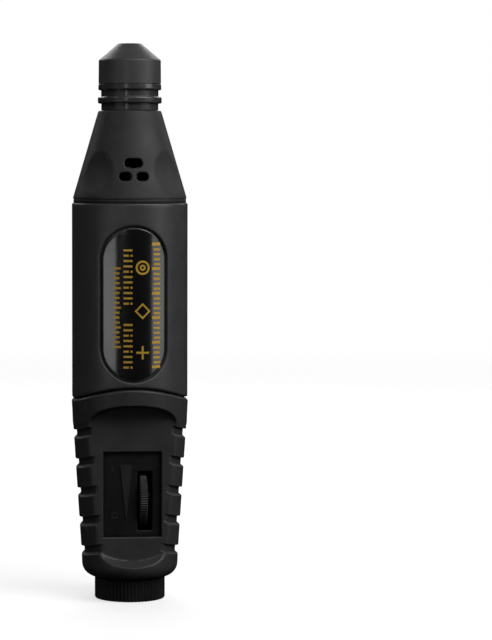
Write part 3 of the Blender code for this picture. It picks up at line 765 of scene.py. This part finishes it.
def grip_radius(z):
    """Radius of the grip's outer cone."""
    return GRIP_TAIL_R + (GRIP_TOP_R - GRIP_TAIL_R) * (z - GRIP_START) / (SEAM - GRIP_START)


def groove_depth(s):
    """Depth of the side grooves along the grip, with rounded edges."""
    total = np.zeros_like(s)
    for centre in GROOVES:
        t = np.clip((GROOVE_HALF - np.abs(s - centre)) / GROOVE_SIDE, 0, 1)
        total += GROOVE_DEPTH * smooth(t)
    return total


def grip_rows():
    """(radius, height, share of the arch) rows, from the tail spigot to the barrel spigot."""
    rows = [(6.8, 2.0, 0), (6.8, 5.6, 0), (8.2, 5.6, 0)]
    corner, steps = 3.4, 16
    for i in range(steps + 1):
        a = math.pi / 2 * (1 - i / steps)
        r = GRIP_TAIL_R - corner + corner * math.cos(a)
        rows.append((r, GRIP_START - corner * math.sin(a), 0))
    # Rows are close together at the pocket's foot, at the edges of the grooves and at the hood
    heights = [*np.arange(9.06, 10.2, 0.06), *np.arange(10.2, 14.4, 0.08)]
    heights += list(np.arange(14.4, 15.6, 0.13))
    edges = [c + sign * 1.03 for c in GROOVES for sign in (-1, 1)]
    z = heights.pop()
    while z < 42.6:
        heights.append(z)
        near = min(abs(z - e) for e in edges)
        z += 0.09 if near < 0.36 else 0.2 if near < 0.7 else 0.6
    heights += [*np.arange(42.6, 47.6, 0.13), 47.8, 48.1, 48.5, 48.9, 49.2]
    for s in heights:
        share = smooth(min(1.0, max(0.0, s - GRIP_START)))
        rows.append((float(grip_radius(s) - groove_depth(np.array(s))), s, share))
    top = grip_radius(49.5)
    lips = ((0, 49.4), (0.03, 49.55), (0.1, 49.68), (0.25, 49.8))
    rows += [(top - drop, z, 1) for drop, z in lips]
    rows += [(13.9, 49.88, 1), (12.5, 49.9, 1), (12.5, 54.6, 1)]
    return np.array(rows)


def hood_edge():
    """The pocket's upper edge from the front: a squarish arch, and level out to the sides."""
    half, foot, rise = HOOD
    power = 2.4  # 2 would give an ellipse
    xs = half * np.cos(np.linspace(math.pi, 0, 97))
    curve = np.column_stack([xs, foot + rise * (1 - np.abs(xs / half) ** power) ** (1 / power)])
    return np.concatenate([[(-PAST_SIDE, foot)], curve, [(PAST_SIDE, foot)]])


def foot_edge():
    """The pocket's lower edge from the front: half an ellipse, and level out to the sides."""
    half, top, fall = FOOT
    a = np.linspace(math.pi, math.tau, 73)
    curve = np.column_stack([half * np.cos(a), top + fall * np.sin(a)])
    return np.concatenate([[(-PAST_SIDE, top)], curve, [(PAST_SIDE, top)]])


def wall_foot(t, radius):
    """How far the surface stands off the pocket's floor at a distance t in from the wall.

    Past the wall, where t is below 0, it climbs steeply.
    """
    near = np.clip(radius - np.clip(t, 0, None), 0, radius)
    return radius - np.sqrt(radius**2 - near**2) + 20 * np.clip(-t, 0, None)


def lip(out, radius):
    """How far an outer edge is rounded down at a distance out from the wall."""
    near = np.clip(radius - out, 0, radius)
    return radius - np.sqrt(radius**2 - near**2)


def grip_surface(angles):
    """Grid of the grip's outside over some columns, with the thumb pocket cut into its front."""
    r, s, share = grip_rows().T
    x = np.outer(r, np.sin(angles))
    y = -np.outer(r, np.cos(angles))
    # Rows near the hood lean to follow its edge
    hood = hood_edge()
    lean = np.interp(x, hood[:, 0], hood[:, 1]) - arch(x) - HOOD_MIDDLE
    weight = smooth(np.clip(1 - np.abs(s - HOOD_MIDDLE) / 3.2, 0, 1))[:, None]
    z = s[:, None] + share[:, None] * arch(x) + weight * np.clip(lean, -1.6, 0.3) * (y < 0)
    front = (y < -5) & (s[:, None] > 8)

    def into(edge, above):
        """Distance into the pocket from an edge, which is below 0 outside the pocket."""
        t = np.full(x.shape, 9.0)  # far away
        t[front] = distance(np.column_stack([x[front], z[front]]), edge, False)
        height = np.interp(x, edge[:, 0], edge[:, 1])
        return t * np.where(z > height if above else z < height, 1, -1)

    t_hood, t_foot = into(hood, False), into(foot_edge(), True)
    floor = POCKET_Y - wall_foot(t_hood, 1.0)
    # The hood's edge is rounded where it stands over the floor
    out = np.clip(-t_hood, 0, None)
    outer = y + lip(out, 0.4) * np.clip((POCKET_Y - y) / 1.2, 0, 1) * (out > 0)
    # At the sides the floor and the outside blend over a soft edge
    soft = 0.65
    blend = np.clip(soft - np.abs(outer - floor), 0, None) / soft
    carved = np.maximum(outer, floor) + blend**2 * soft / 4
    # At the foot the floor eases out to the outside
    carved += (y - carved) * smooth(np.clip((0.95 - t_foot) / 1.5, 0, 1))
    return np.stack([x, np.where(front, carved, y), z], axis=2)


def closed_half(outer, inner):
    """Closes half of a tube between its outside and inside grids, which share their columns."""
    n, m = outer.shape[:2]
    k = inner.shape[0]
    points = outer.reshape(-1, 3).tolist() + inner.reshape(-1, 3).tolist()
    shift = n * m
    faces = []
    for start, rows in ((0, n), (shift, k)):
        for i in range(rows - 1):
            for j in range(m - 1):
                a = start + i * m + j
                faces.append((a, a + 1, a + m + 1, a + m))
    for a, b in ((0, shift), ((n - 1) * m, shift + (k - 1) * m)):
        faces += [(a + j, a + j + 1, b + j + 1, b + j) for j in range(m - 1)]
    for j in (0, m - 1):
        side = [i * m + j for i in range(n)]
        faces.append(side + [shift + i * m + j for i in reversed(range(k))])
    return points, faces


def grip_inside(angles):
    """Grid of the grip's cavity, flat behind the thumb pocket."""
    rows = [(4.4, 2.0, 0), (5.3, 7.2, 0), *CAVITY, (11.25, 51.4, 1), (11.3, 54.6, 1)]
    r, z, share = np.array(rows).T
    x = np.outer(r, np.sin(angles))
    y = -np.outer(r, np.cos(angles))
    low = z < SEAM
    y[low] = np.maximum(y[low], CAVITY_FRONT)
    return np.stack([x, y, z[:, None] + share[:, None] * arch(x)], axis=2)


def tongue(sign):
    """A strip inside the grip that covers the parting line on one side."""
    half = 1.6  # of its width, from front to back
    sections = []
    for r, z, _ in CAVITY:
        corners = ((r - 0.07, -half), (r + 0.2, half), (r - 0.7, half), (r - 0.7, -half))
        sections.append([(sign * x, y, z) for x, y in corners])
    points, faces = wrapped(sections, False)
    last = len(points) - len(corners)
    return points, faces + [list(range(len(corners))), list(range(last, len(points)))]


def cutter(name, sections):
    """A closed cutter lofted through outlines of equal length."""
    sections = np.asarray(sections, float)
    n, m = sections.shape[:2]
    points, faces = wrapped(sections, False)
    faces += [list(range(m)), [(n - 1) * m + j for j in range(m)]]
    return mesh_object(name, points, faces, 30)


def cut(target, tool, sharp):
    """Cuts the tool out of the target for good."""
    step = target.modifiers.new("cut", "BOOLEAN")
    step.object = tool
    step.solver = "EXACT"
    bpy.context.view_layer.update()
    result = target.evaluated_get(bpy.context.evaluated_depsgraph_get())
    made = bpy.data.meshes.new_from_object(result)
    target.modifiers.clear()
    target.data = made
    bpy.data.objects.remove(tool)
    shade(made, sharp)


def build_grip():
    """Two halves, parted at the sides, with a tongue on the back one behind each parting line."""
    spans = [[-89.75], np.arange(-87.5, -58, 2.5), np.arange(-57.5, -39, 0.6)]
    side = np.radians(np.concatenate([*spans, np.arange(-39, 0, 0.75)]))
    front = np.concatenate([side, [0.0], -side[::-1]])
    back = np.radians(np.linspace(90.25, 269.75, 76))
    halves = []
    for name, node, angles, strips in (
        ("grip_front", "grip_front_shell", front, []),
        ("grip_back", "grip_back_shell", back, [tongue(-1), tongue(1)]),
    ):
        points, faces = joined([closed_half(grip_surface(angles), grip_inside(angles)), *strips])
        halves.append(piece(name, points, faces, GRIP, replaced=(node,), sharp=50))
    cut_window(halves[0])


def cut_window(front):
    """Cuts the panel's window, with sloping edges, through the front half."""
    half, bottom, top = WINDOW
    sections = []
    for y, grow in ((-10.0, 1.55), (-8.45, 0.0), (-3.0, 0.0)):
        w, low, high = half + grow, bottom - grow, top + grow
        sections.append([(-w, y, low), (w, y, low), (w, y, high), (-w, y, high)])
    cut(front, cutter("window", sections), 50)


# --- Switch panel and wheel ---


def raised(outline, base_y, top_y, bevel):
    """Points and faces of a small raised mark on the panel, with sloping sides."""
    outline = np.asarray(outline, float)
    centre = outline.mean(axis=0)
    far = np.linalg.norm(outline - centre, axis=1)
    top = centre + (outline - centre) * (1 - bevel / far)[:, None]
    count = len(outline)
    points = [(x, base_y, z) for x, z in outline] + [(x, top_y, z) for x, z in top]
    faces = [(i, (i + 1) % count, count + (i + 1) % count, count + i) for i in range(count)]
    return points, faces + [list(range(count)), list(range(count, 2 * count))]


def joined(shapes):
    """The points and faces of several shapes as one."""
    points, faces = [], []
    for more_points, more_faces in shapes:
        shift = len(points)
        points += [tuple(p) for p in more_points]
        faces += [[i + shift for i in f] for f in more_faces]
    return points, faces


def slot_ring(grow, depth):
    """A ring for sheet round the wheel's slot, with rounded corners."""
    left, right, low, high = SLOT
    corner = 0.35 + grow
    dx, dz = (right - left) / 2 + grow - corner, (high - low) / 2 + grow - corner
    ring = []
    for k, (sx, sz) in enumerate(((1, 1), (-1, 1), (-1, -1), (1, -1))):
        for i in range(5):
            a = math.pi / 2 * (k + i / 4)
            x = (left + right) / 2 + sx * dx + corner * math.cos(a)
            ring.append((x, (low + high) / 2 + sz * dz + corner * math.sin(a), depth))
    return ring


def window_ring(inset, depth):
    """A ring for sheet just inside the window."""
    half, bottom, top = WINDOW
    w, h = half - inset, (top - bottom) / 2 - inset
    side = np.linspace(-1, 1, 25)[:-1]
    ring = [(t, -1) for t in side] + [(1, t) for t in side]
    ring += [(-t, 1) for t in side] + [(-1, -t) for t in side]
    return [(x * w, (bottom + top) / 2 + z * h, depth) for x, z in ring]


def build_panel():
    """A plate that stands PANEL_STEP proud of its flange in the window, with the wheel's slot."""
    half, bottom, top = WINDOW
    xs = np.linspace(-half - 0.6, half + 0.6, 20)
    u, v = np.meshgrid(xs, np.linspace(bottom - 0.8, top + 0.8, 28))
    drop = np.where((np.abs(u) < half) & (v > bottom) & (v < top), 0, PANEL_STEP)
    drop[[0, -1], :] = PANEL_STEP + LOCKED
    drop[:, [0, -1]] = PANEL_STEP + LOCKED
    slot_edge = ((0.2, 0.0), (0.1, 0.03), (0.03, 0.09), (0.0, 0.17))
    window_edge = ((0.26, 0.0), (0.16, 0.03), (0.12, 0.1), (0.1, PANEL_STEP))
    rings = [slot_ring(*level) for level in slot_edge]
    hole = np.array(rings[-1])[:, :2]
    rings += [window_ring(*level) for level in window_edge]
    grid = np.column_stack([u.ravel(), v.ravel(), drop.ravel()])
    rows, faces = sheet(grid, rings, 0.1, [hole])
    points = np.column_stack([rows[:, 0], PANEL_Y + rows[:, 2], rows[:, 1]])
    plate = piece(
        "panel_plate", points, faces, PANEL, replaced=("switch_panel",), slot="dark_plastic"
    )
    thicken(plate, 0.85, -1.0 if plate.data.polygons[0].normal.y < 0 else 1.0)


def build_marks():
    """Marks raised on the panel beside the wheel: a wedge, a ring and a short bar."""
    wedge = [(-3.0, 34.2), (-1.6, 20.65), (-1.5, 20.4), (-1.4, 20.65), (0.0, 34.2)]
    bar = [(-5.15, 32.35), (-4.8, 32.35), (-4.8, 34.15), (-5.15, 34.15)]
    base, lift = PANEL_Y + 0.1, PANEL_Y - 0.14
    ring = [
        [(-4.4 + r * math.cos(a), y, 21.6 + r * math.sin(a)) for a in even(32)]
        for r, y in ((0.82, base), (0.82, lift), (0.52, lift), (0.52, base))
    ]
    shapes = [raised(wedge, PANEL_Y + 0.2, PANEL_Y - 0.28, 0.12), wrapped(ring)]
    shapes.append(raised(bar, base, lift, 0.05))
    points, faces = joined(shapes)
    piece("panel_marks", points, faces, MARKS, slot="dark_plastic", sharp=30)


def build_wheel():
    """The speed wheel, whose axle lies across, with fine ridges round its rim."""
    y, z = -3.0, 25.3  # of the axle
    profile = [
        (1.7, 1.75, 0.1), (5.8, 1.75, 0.2), (6.1, 1.9, 0.1), (6.62, 1.8, 0.1), (6.9, 2.08, 0.15),
        (6.9, 3.47, 0.15), (6.62, 3.75, 0.1), (6.1, 3.65, 0.1), (5.8, 3.8, 0.2), (1.7, 3.8, 0.1),
    ]
    angles, radius, x = fluted(profile, 72, 6, 0.17, 1.3, 6.3, 0.4)
    grid = np.stack([x, y - radius * np.cos(angles), z + radius * np.sin(angles)], axis=2)
    piece(
        "speed_wheel_knurled", *wrapped(grid), WHEEL,
        body="speed_wheel", replaced=("speed_wheel",), slot="dark_plastic", sharp=60,
    )


# --- Tail ---


def build_tail():
    """The tail cap, with ribs round its side."""
    profile = [
        (4.5, 0.0, 0.12), (TAIL_R - 0.25, 0.0, 0.2), (TAIL_R - 0.01, 0.24, 0.2),
        (TAIL_R, 5.3, 0.22), (7.1, 5.3, 0), (7.1, 1.6, 0), (4.5, 1.6, 0),
    ]
    angles, radius, z = fluted(profile, 60, 8, 0.3, 1.6, 7.95, 0.5)
    points, faces = wrapped(placed(radius, angles, z))
    piece("tail_cap_ribbed", points, faces, KNOB, replaced=("tail_cap",), sharp=60)


def build_socket():
    """The socket's insulating body, inside the tail cap."""
    profile = [
        (3.9, 10.5, 0), (4.1, 10.2, 0), (4.1, 0.7, 0.15), (1.85, 0.7, 0.2), (1.85, 9.2, 0),
        (0.75, 9.2, 0), (0.75, 10.5, 0),
    ]
    lathe("socket_body", profile, DARK, 72, replaced=("socket_housing",), slot="dark_plastic")


# --- Pieces kept as the frame has them ---


KEPT = {
    STEEL: ("thrust_washer", "motor_screw_left", "motor_screw_right", "motor_shaft"),
    # Painted shade: these steel pieces take the darkened steel, which stands in for the shade
    # inside the nose and the slot.
    STEEL_DARKENED_AS_SHADE: ("spindle", "wheel_shaft", "wheel_screw"),
    ZINC: ("motor_can", "rotor_core"),
    BRASS: ("bit_sleeve", "socket_pin"),
    BRONZE: ("front_bush", "motor_front_bush", "motor_rear_bush"),
    COPPER: (
        "commutator", "winding_1", "winding_2", "winding_3",
        "motor_terminal_left", "motor_terminal_right", "socket_lug_left", "socket_lug_right",
        "potentiometer_pin_1", "potentiometer_pin_2", "potentiometer_pin_3",
    ),
    DARK: ("motor_end_cap", "motor_mount", "driver_chip", "power_transistor"),
    # Painted shade: the pot's near-black tone stands in for the shade inside the slot.
    PHENOLIC: ("potentiometer",),
    BOARD: ("control_board",),
    RUBBER: ("motor_damper",),
    FELT: ("dust_seal",),
    FERRITE: ("magnet_left", "magnet_right"),
    CARBON: ("brush_left", "brush_right"),
    ALUMINIUM: ("capacitor",),
    RED_VINYL: ("motor_wire_red", "supply_wire_red"),
    BLACK_VINYL: ("motor_wire_black", "supply_wire_black"),
}


def dress_kept():
    """Gives the frame's own meshes their finishes."""
    for finish, names in KEPT.items():
        for name in names:
            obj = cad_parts[name]
            obj.data.materials.clear()
            obj.data.materials.append(finish)
            shade(obj.data, 35)


# --- Studio, in metres ---

MIDDLE = 0.07  # height that the lights aim at
# Name, azimuth from the front towards +X, elevation, distance, (width, height), radiance
SOFT_BOXES = (
    ("key_front", 42, 33, 0.62, (0.3, 0.26), 2.6),
    ("key_high", 50, 44, 0.62, (0.4, 0.4), 1.15),
    ("key_side", 70, 24, 0.64, (0.3, 0.3), 2.3),
    ("key_low", 55, -2.7, 0.75, (0.4, 0.09), 1.2),
    ("left_low", -47, -2.7, 0.75, (0.4, 0.09), 1.3),
    ("left_high", -60, 34, 0.75, (0.3, 0.34), 0.8),
    ("front_strip", -18, 13, 0.7, (0.04, 0.2), 3.5),
    ("front_fill", 6, 38, 0.65, (0.3, 0.2), 1.1),
    ("front_top", 4, 50, 0.6, (0.36, 0.24), 0.8),
    ("high_top", 0, 60, 0.6, (0.42, 0.3), 0.25),
    ("back_top", 180, 36, 0.7, (0.6, 0.4), 2.2),
    ("back_left", -135, 30, 0.8, (0.3, 0.4), 1.3),
    ("back_right", 135, 30, 0.8, (0.3, 0.4), 1.3),
)


def direction(azimuth, elevation):
    """Unit vector from the object, with azimuth and elevation in degrees."""
    a, up = math.radians(azimuth), math.radians(elevation)
    return Vector((math.sin(a) * math.cos(up), -math.cos(a) * math.cos(up), math.sin(up)))


def soft_box(name, azimuth, elevation, reach, size, radiance):
    """An area light aimed at the middle of the object."""
    data = bpy.data.lights.new(name, "AREA")
    data.shape = "RECTANGLE"
    data.size, data.size_y = size
    data.energy = radiance * math.pi * size[0] * size[1]
    obj = bpy.data.objects.new(name, data)
    away = direction(azimuth, elevation)
    obj.location = Vector((0, 0, MIDDLE)) + away * reach
    obj.rotation_euler = away.to_track_quat("Z", "Y").to_euler()
    bpy.context.scene.collection.objects.link(obj)


def backdrop(name, create, **sizes):
    """A shape that neither lights the object nor shows in it, and its material's nodes."""
    mesh = bpy.data.meshes.new(name)
    work = bmesh.new()
    create(work, **sizes)
    work.to_mesh(mesh)
    work.free()
    obj = bpy.data.objects.new(name, mesh)
    bpy.context.scene.collection.objects.link(obj)
    obj.visible_diffuse = obj.visible_glossy = False
    made = bpy.data.materials.new(name)
    made.use_nodes = True
    mesh.materials.append(made)
    return obj, made.node_tree


def build_floor():
    """A pale disc that fades out towards its edge."""
    create = bmesh.ops.create_circle
    floor, tree = backdrop("floor", create, cap_ends=True, segments=96, radius=1.6)
    shader = tree.nodes["Principled BSDF"]
    fill(shader, {"Base Color": (0.86, 0.86, 0.86, 1), "Roughness": 0.9})
    fill(shader, {"Emission Color": (1, 1, 1, 1), "Emission Strength": 0.55})
    place = tree.nodes.new("ShaderNodeTexCoord").outputs["Object"]
    far = tree.nodes.new("ShaderNodeVectorMath")
    far.operation = "LENGTH"
    tree.links.new(place, far.inputs[0])
    fade = tree.nodes.new("ShaderNodeMapRange")
    fade.interpolation_type = "SMOOTHSTEP"
    fill(fade, {"From Min": 0.12, "From Max": 0.9, "To Min": 1.0, "To Max": 0.0})
    tree.links.new(far.outputs["Value"], fade.inputs["Value"])
    tree.links.new(fade.outputs["Result"], shader.inputs["Alpha"])


def build_dome():
    """A glowing white dome, seen but not lighting anything."""
    create = bmesh.ops.create_uvsphere
    dome, tree = backdrop("dome", create, u_segments=48, v_segments=24, radius=6.0)
    dome.visible_transmission = dome.visible_volume_scatter = dome.visible_shadow = False
    tree.nodes.remove(tree.nodes["Principled BSDF"])
    glow = tree.nodes.new("ShaderNodeEmission")
    fill(glow, {"Color": (1, 1, 1, 1)})
    tree.links.new(glow.outputs[0], tree.nodes["Material Output"].inputs["Surface"])


def build_camera():
    """A long lens, a little above the object's middle and a little to its left."""
    data = bpy.data.cameras.new("camera")
    data.lens = 139.1
    data.sensor_width = 36.0
    data.shift_x = 0.1816
    camera = bpy.data.objects.new("camera", data)
    back = direction(-4.7, 3.5)
    height, reach = 0.0696, 0.617
    camera.location = Vector((0, 0, height)) + back * reach
    camera.rotation_mode = "QUATERNION"
    camera.rotation_quaternion = (-back).to_track_quat("-Z", "Y")
    bpy.context.scene.collection.objects.link(camera)
    bpy.context.scene.camera = camera


def build_studio():
    """Backdrop, soft boxes and camera, and a world that is almost dark."""
    scene = bpy.context.scene
    scene.view_settings.view_transform = "Standard"
    scene.world = bpy.data.worlds.new("studio")
    scene.world.use_nodes = True
    background = scene.world.node_tree.nodes["Background"]
    fill(background, {"Color": (1, 1, 1, 1), "Strength": 0.004})
    build_floor()
    build_dome()
    for row in SOFT_BOXES:
        soft_box(*row)
    build_camera()


nose_cap()
neck_collar()
build_nosepiece()
build_barrel()
build_label()
build_print()
build_grip()
build_panel()
build_marks()
build_wheel()
build_tail()
build_socket()
dress_kept()
build_studio()
